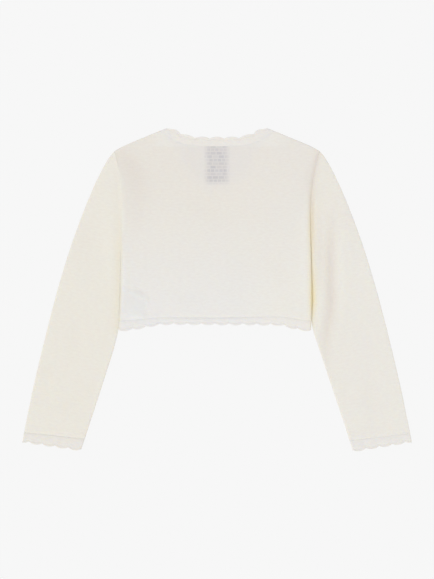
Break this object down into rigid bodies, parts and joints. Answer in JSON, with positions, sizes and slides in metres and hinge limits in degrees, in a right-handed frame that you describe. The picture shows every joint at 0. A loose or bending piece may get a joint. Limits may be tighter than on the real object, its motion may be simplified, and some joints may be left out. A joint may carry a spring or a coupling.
{
  "type": "child's cropped cardigan",
  "caption": "Child's cropped fine-knit cardigan with long sleeves and scalloped edging at neck, hem and cuffs, laid flat on its fronts.",
  "frame": {"origin": "centre of the bounding box's base, on the surface the cardigan lies on", "axes": "+X across the garment towards the wearer's right, +Y up it towards the neck, +Z away from the surface it lies on"},
  "size_m": [0.584, 0.484, 0.006],
  "materials": {
    "knit": "ivory fine plain knit, matt with a soft nap",
    "edging": "ivory fine knitted edging, matt"
  },
  "bodies": {
    "root": {"back": "knit", "front_left": "knit", "front_right": "knit", "sleeve_left": "knit", "sleeve_right": "knit", "front_band_left": "edging", "front_band_right": "edging", "neck_edging_back": "edging", "neck_edging_left": "edging", "neck_edging_right": "edging", "hem_edging_back": "edging", "hem_edging_left": "edging", "hem_edging_right": "edging", "cuff_edging_left": "edging", "cuff_edging_right": "edging"}
  },
  "joints": []
}
